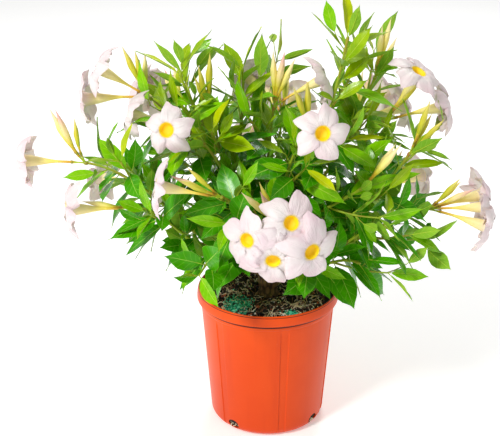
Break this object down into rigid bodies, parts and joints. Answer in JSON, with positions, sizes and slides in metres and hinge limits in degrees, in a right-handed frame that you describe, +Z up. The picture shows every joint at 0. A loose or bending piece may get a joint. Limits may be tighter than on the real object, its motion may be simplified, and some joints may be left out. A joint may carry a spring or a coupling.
{
  "type": "potted dipladenia",
  "caption": "Potted flowering patio shrub: white trumpet blooms, slim pointed buds and glossy green leaves on branching stems in a round nursery pot of potting mix.",
  "frame": {"origin": "middle of the pot's flat underside", "axes": "+Z up the pot's axis; -Y towards the plant's front, the side with the cluster of open flowers over the rim; +X to the right as seen from the front"},
  "size_m": [0.6881, 0.5078, 0.6507],
  "materials": {
    "pot_plastic": "semi-gloss moulded plastic, terracotta orange",
    "bark_mix": "moist, dark, crumbly bark and peat",
    "bark": "matt brown bark",
    "green_bark": "smooth young bark, green turning brown",
    "leaf": "glossy green leaf",
    "petal": "soft satin petal, white with a pink blush",
    "bud": "satin, pale yellow"
  },
  "bodies": {
    "root": {"pot": "pot_plastic", "potting_mix": "bark_mix", "woody_foot": "bark", "bough_left_long": "bark", "bough_upper_left": "bark", "bough_front_left": "bark", "bough_top_centre": "bark", "bough_top_right": "bark", "bough_front_centre": "bark", "bough_right_top": "bark", "bough_right_cluster": "bark", "bough_front_low": "bark", "bough_back_left": "bark", "bough_back": "bark", "bough_back_right": "bark", "bough_left_low": "green_bark", "bough_top_left": "green_bark", "bough_left_face": "green_bark", "bough_front_left_low": "green_bark", "bough_centre_left": "green_bark", "bough_centre_buds": "green_bark", "bough_right_spire": "green_bark", "bough_right_mid": "green_bark", "bough_right_upper": "green_bark", "bough_right_low": "green_bark", "bough_right_droop": "green_bark", "bough_front_skirt": "green_bark", "bough_back_left_low": "green_bark", "bough_back_low": "green_bark", "bough_back_right_low": "green_bark", "foliage_left_long": "leaf", "foliage_upper_left": "leaf", "foliage_front_left": "leaf", "foliage_top_centre": "leaf", "foliage_top_right": "leaf", "foliage_front_centre": "leaf", "foliage_right_top": "leaf", "foliage_right_cluster": "leaf", "foliage_front_low": "leaf", "foliage_back_left": "leaf", "foliage_back": "leaf", "foliage_back_right": "leaf", "foliage_left_low": "leaf", "foliage_top_left": "leaf", "foliage_left_face": "leaf", "foliage_front_left_low": "leaf", "foliage_centre_left": "leaf", "foliage_centre_buds": "leaf", "foliage_right_spire": "leaf", "foliage_right_mid": "leaf", "foliage_right_upper": "leaf", "foliage_right_low": "leaf", "foliage_right_droop": "leaf", "foliage_front_skirt": "leaf", "foliage_back_left_low": "leaf", "foliage_back_low": "leaf", "foliage_back_right_low": "leaf"}
  },
  "joints": []
}
